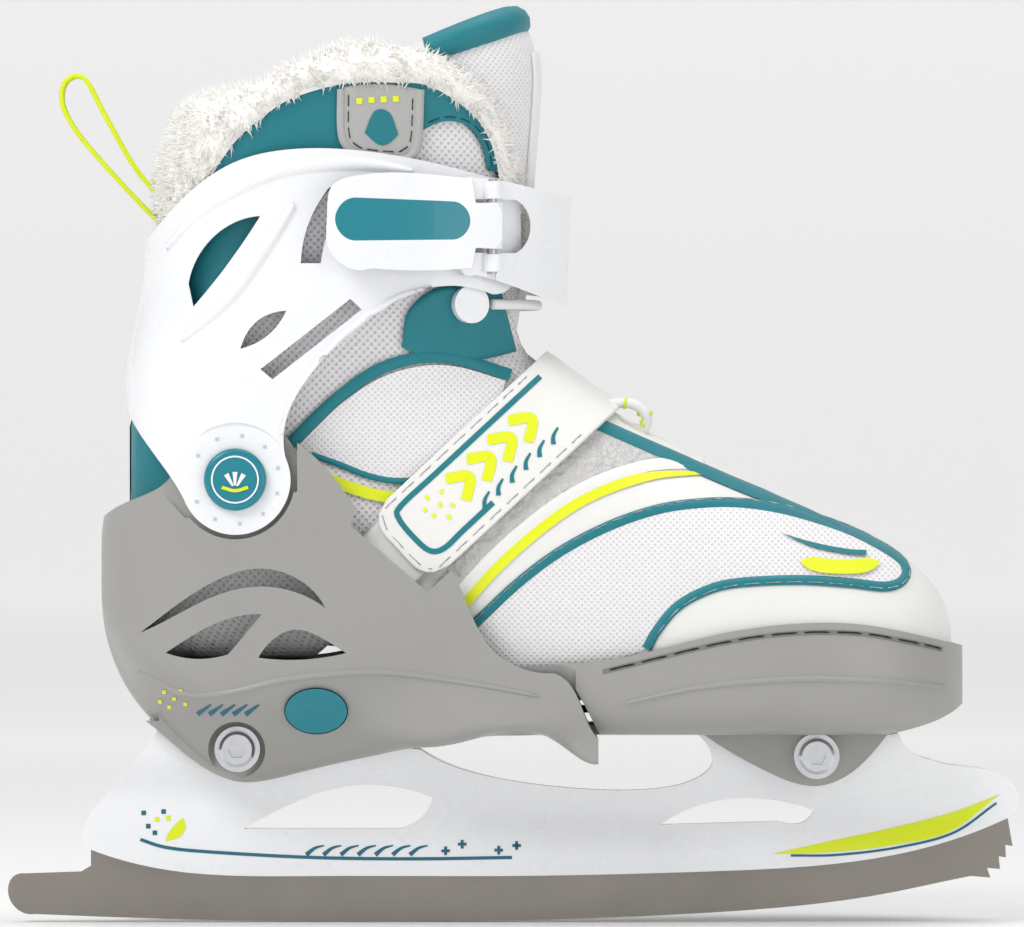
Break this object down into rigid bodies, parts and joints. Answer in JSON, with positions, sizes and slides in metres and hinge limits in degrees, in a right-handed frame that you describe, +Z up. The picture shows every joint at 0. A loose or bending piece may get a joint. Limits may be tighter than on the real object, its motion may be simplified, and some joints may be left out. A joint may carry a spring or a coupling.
{
  "type": "ice skate",
  "caption": "Right ice skate for a child: toothed figure blade in a white holder, sliding grey half shells, hinged white cuff with lever buckle, fur-lined boot and instep strap.",
  "frame": {"origin": "on the ice, in the blade's middle plane, under the middle of the blade's length", "axes": "+X towards the toe, +Y towards the inner side of the foot, +Z up"},
  "size_m": [0.3047, 0.1037, 0.2761],
  "materials": {
    "blade_steel": "satin ground steel",
    "holder_white": "moulded gloss",
    "bolt_chrome": "polished",
    "shell_grey": "moulded satin",
    "board_black": "moulded matt",
    "trim_teal": "moulded gloss",
    "spring_steel": "drawn wire",
    "cuff_white": "moulded gloss",
    "boot_mesh": "woven mesh and coated fabric",
    "boot_teal": "brushed fabric",
    "fur_cream": "long pile",
    "insole_grey": "felt",
    "strap_leather": "coated, stitched",
    "lace_white": "braided",
    "loop_lime": "woven webbing",
    "badge_grey": "moulded"
  },
  "bodies": {
    "chassis": {"blade_runner": "blade_steel", "blade_holder": "holder_white", "axle_bolts": "bolt_chrome", "axle_washers": "bolt_chrome", "axle_nuts": "bolt_chrome", "heel_shell": "shell_grey", "foot_board": "board_black", "pivot_rivet_right": "bolt_chrome", "pivot_rivet_left": "bolt_chrome", "pivot_cap_right": "trim_teal", "pivot_cap_left": "trim_teal", "liner_foot": "boot_mesh", "insole": "insole_grey", "strap_hook_tab": "strap_leather", "strap_anchor_tab": "strap_leather", "strap_rivets": "bolt_chrome", "button_spring": "spring_steel"},
    "toe_slider": {"toe_shell": "shell_grey", "size_rack": "board_black", "rack_screws": "bolt_chrome", "liner_toe": "boot_mesh"},
    "button": {"push_button": "trim_teal"},
    "cuff_body": {"cuff": "cuff_white", "buckle_ladder": "cuff_white", "strap_bracket": "cuff_white", "strap_pin": "bolt_chrome", "cuff_rivets": "bolt_chrome", "liner_collar": "boot_teal", "fur_collar": "fur_cream", "tongue": "boot_mesh", "pull_loop": "loop_lime", "lace_hooks": "cuff_white", "throat_lace": "lace_white", "side_badge": "badge_grey"},
    "ankle_strap": {"cuff_strap": "cuff_white", "lever_pin": "bolt_chrome"},
    "lever": {"buckle_lever": "cuff_white", "lever_inlay": "trim_teal"},
    "instep_flap": {"instep_strap": "strap_leather"}
  },
  "joints": [
    {"name": "cuff_pivot", "type": "hinge", "parent": "chassis", "child": "cuff_body", "pos_m": [-0.0825, 0, 0.1335], "axis": [0, 1, 0], "range_deg": [-4, 6]},
    {"name": "size_slide", "type": "slide", "parent": "chassis", "child": "toe_slider", "axis": [1, 0, 0], "range_m": [0, 0.02]},
    {"name": "button_push", "type": "slide", "parent": "chassis", "child": "button", "axis": [0, 1, 0], "range_m": [0, 0.0025], "stiffness_N_per_m": 600, "deforming": ["button_spring"]},
    {"name": "ankle_strap_swing", "type": "hinge", "parent": "cuff_body", "child": "ankle_strap", "pos_m": [-0.026, 0.0414, 0.209], "axis": [0, 0, 1], "range_deg": [0, 50]},
    {"name": "lever_open", "type": "hinge", "parent": "ankle_strap", "child": "lever", "pos_m": [-0.006, -0.0342, 0.209], "axis": [0, 0, 1], "range_deg": [0, 80]},
    {"name": "instep_flap_open", "type": "hinge", "parent": "chassis", "child": "instep_flap", "pos_m": [-0.0175, 0.0383, 0.1276], "axis": [-0.6822, 0, 0.7312], "range_deg": [0, 40]}
  ]
}
